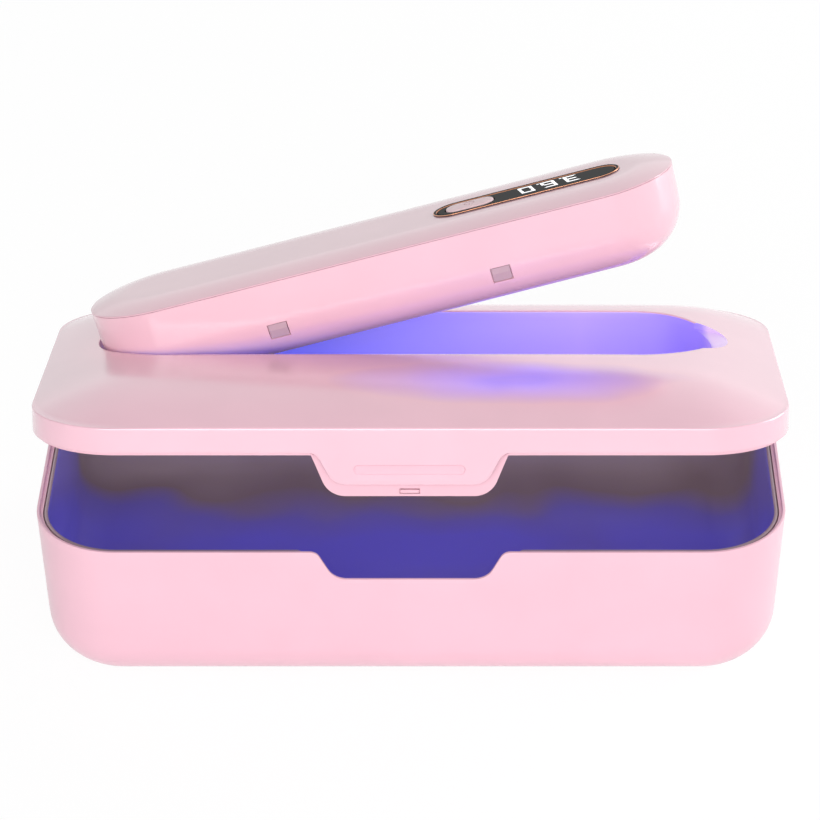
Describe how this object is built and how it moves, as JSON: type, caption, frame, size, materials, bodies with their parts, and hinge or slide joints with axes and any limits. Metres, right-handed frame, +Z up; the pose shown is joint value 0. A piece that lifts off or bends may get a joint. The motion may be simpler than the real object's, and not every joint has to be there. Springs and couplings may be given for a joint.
{
  "type": "uv sterilizer box",
  "caption": "Rounded storage box with a hinged crowned lid, whose dock slot holds a lift-out ultraviolet lamp wand with a display and a press button.",
  "frame": {"origin": "middle of the tub's footprint, on the surface that the rubber feet stand on", "axes": "+X along the box to the right, +Y to the hinges at the back, +Z up"},
  "size_m": [0.224, 0.1345, 0.1359],
  "materials": {
    "pink_shell": "soft gloss",
    "wand_pink": "soft gloss",
    "liner": "gloss",
    "lid_inner": "satin",
    "catch": "satin",
    "reflector": "bright film",
    "dock": "gloss",
    "copper_bezel": "polished copper tone",
    "display_glass": "gloss",
    "component_black": "matte",
    "circuit_board": "satin",
    "battery_wrap": "satin",
    "lamp_window": "clear",
    "uv_led": "lit",
    "socket_steel": "satin",
    "side_pad": "satin",
    "rubber_feet": "matte",
    "steel": "satin"
  },
  "bodies": {
    "tub": {"tub_shell": "pink_shell", "tub_liner": "liner", "foot_front_left": "rubber_feet", "foot_front_right": "rubber_feet", "foot_back_left": "rubber_feet", "foot_back_right": "rubber_feet", "base_screw_front_left": "steel", "base_screw_front_right": "steel", "base_screw_back_left": "steel", "base_screw_back_right": "steel", "hinge_pin_left": "steel", "hinge_pin_right": "steel"},
    "lid": {"lid_cover": "pink_shell", "lid_inner": "lid_inner", "latch_catch": "catch", "lid_reflector": "reflector", "dock_tray": "dock", "lid_screw_front_left": "steel", "lid_screw_front_middle": "steel", "lid_screw_front_right": "steel", "lid_screw_back_left": "steel", "lid_screw_back_middle": "steel", "lid_screw_back_right": "steel"},
    "wand": {"wand_cover": "wand_pink", "wand_shell": "wand_pink", "display_bezel": "copper_bezel", "display_panel": "display_glass", "main_board": "circuit_board", "display_module": "component_black", "button_switch": "component_black", "wand_battery": "battery_wrap", "led_board": "circuit_board", "lamp_window": "lamp_window", "usb_socket": "socket_steel", "wand_screw_left": "steel", "wand_screw_right": "steel", "uv_led_1": "uv_led", "uv_led_2": "uv_led", "uv_led_3": "uv_led", "uv_led_4": "uv_led", "uv_led_5": "uv_led", "uv_led_6": "uv_led", "side_pad_front_left": "side_pad", "side_pad_front_right": "side_pad", "side_pad_back_left": "side_pad", "side_pad_back_right": "side_pad"},
    "button": {"power_button": "wand_pink"}
  },
  "joints": [
    {"name": "lid_hinge", "type": "hinge", "parent": "tub", "child": "lid", "pos_m": [0, 0.0675, 0.0513], "axis": [-1, 0, 0], "range_deg": [-13.91, 76]},
    {"name": "wand_tilt", "type": "hinge", "parent": "lid", "child": "wand", "pos_m": [-0.1105, 0.01123, 0.07451], "axis": [0, -0.9707, 0.2404], "range_deg": [-14.72, 30]},
    {"name": "button_press", "type": "slide", "parent": "wand", "child": "button", "axis": [0.2541, -0.2325, -0.9388], "range_m": [0, 0.0006], "stiffness_N_per_m": 1500, "springref_m": -0.0006}
  ]
}
